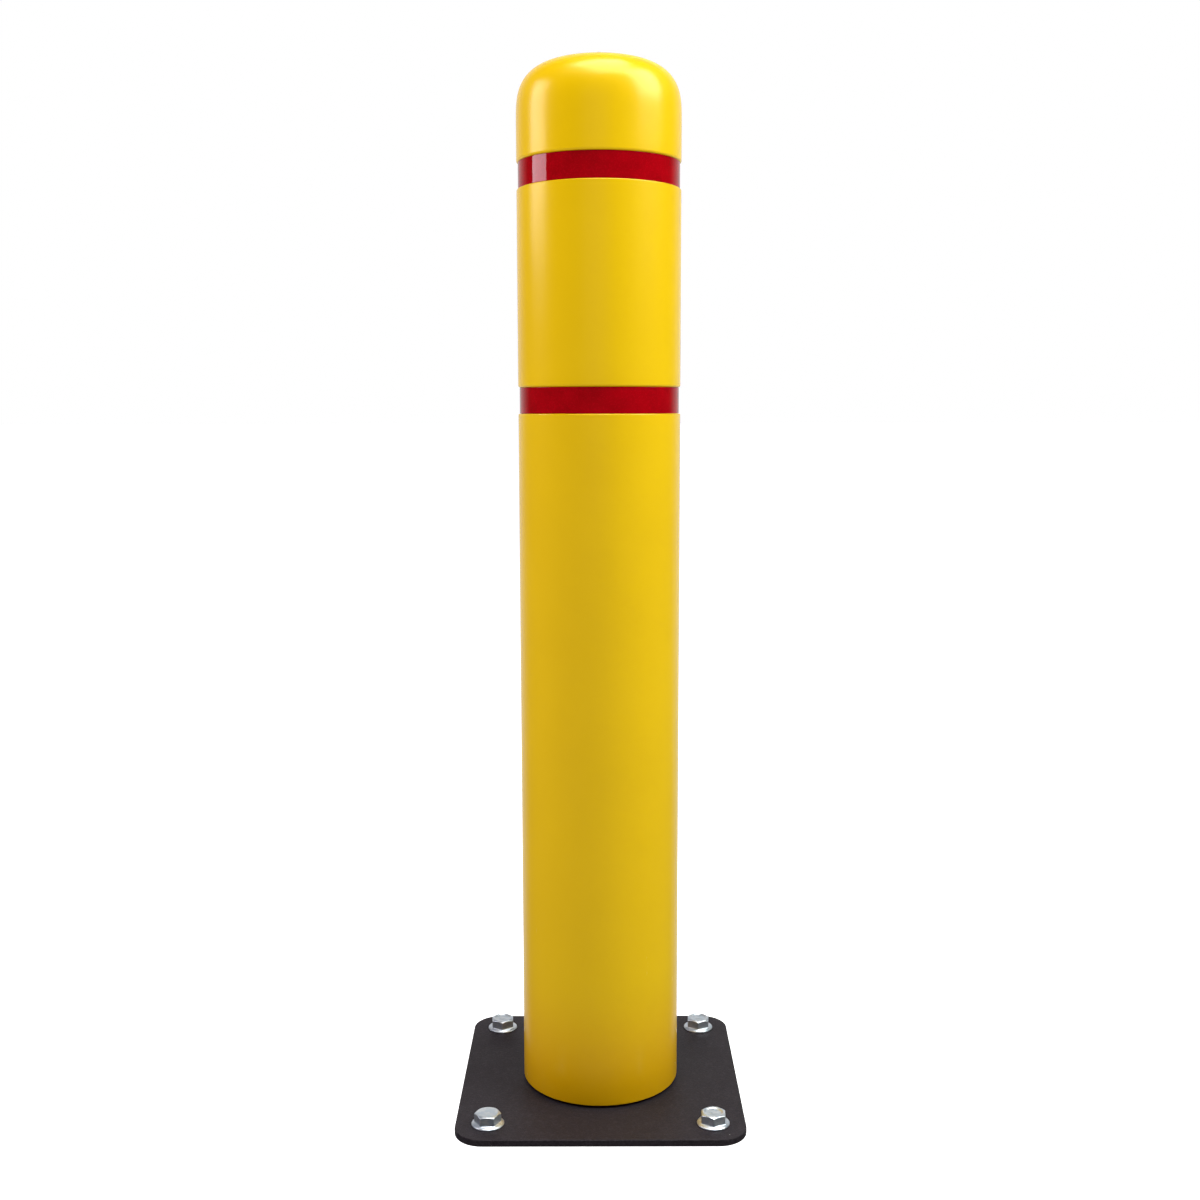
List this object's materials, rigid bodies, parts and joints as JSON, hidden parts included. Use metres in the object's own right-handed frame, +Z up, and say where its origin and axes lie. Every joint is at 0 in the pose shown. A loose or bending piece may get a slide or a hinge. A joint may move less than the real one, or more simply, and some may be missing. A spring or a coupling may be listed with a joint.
{
  "type": "safety bollard",
  "caption": "Steel safety bollard: capped pipe on a bolted square base plate, under a domed slip-on plastic cover with recessed reflective bands.",
  "frame": {"origin": "centre of the base plate's underside, on the floor line", "axes": "+Z up along the post, -Y towards the front, +X to the right seen from the front; the plate's sides are parallel to X and Y"},
  "size_m": [0.254, 0.254, 0.9966],
  "materials": {
    "yellow_plastic": "satin moulded polyethylene, fine even grain",
    "red_reflective_tape": "glossy retroreflective film with a fine cell pattern",
    "black_powder_coat": "matte powder coat with a fine grain",
    "zinc_plated_steel": "bright bluish zinc plating",
    "black_oxide_steel": "oiled black oxide",
    "bare_steel": "plain machined steel",
    "spacer_foam": "closed-cell foam"
  },
  "bodies": {
    "post": {"base_plate": "black_powder_coat", "pipe_post": "black_powder_coat", "base_weld": "black_powder_coat", "pipe_cap": "black_powder_coat", "cap_weld": "black_powder_coat", "weld_nut": "bare_steel", "foam_strip_lower_front": "spacer_foam", "foam_strip_lower_right": "spacer_foam", "foam_strip_lower_rear": "spacer_foam", "foam_strip_lower_left": "spacer_foam", "foam_strip_upper_front": "spacer_foam", "foam_strip_upper_right": "spacer_foam", "foam_strip_upper_rear": "spacer_foam", "foam_strip_upper_left": "spacer_foam", "anchor_front_left": "zinc_plated_steel", "anchor_front_right": "zinc_plated_steel", "anchor_rear_left": "zinc_plated_steel", "anchor_rear_right": "zinc_plated_steel"},
    "cover": {"cover_sleeve": "yellow_plastic", "upper_reflective_tape": "red_reflective_tape", "lower_reflective_tape": "red_reflective_tape"},
    "cap_screw": {"cover_screw": "black_oxide_steel", "cover_screw_washer": "black_oxide_steel"}
  },
  "joints": [
    {"name": "sleeve_lift", "type": "slide", "parent": "post", "child": "cover", "axis": [0, 0, 1], "range_m": [0, 0.95]},
    {"name": "cover_screw_out", "type": "slide", "parent": "cover", "child": "cap_screw", "axis": [0, 0, 1], "range_m": [0, 0.06]}
  ]
}
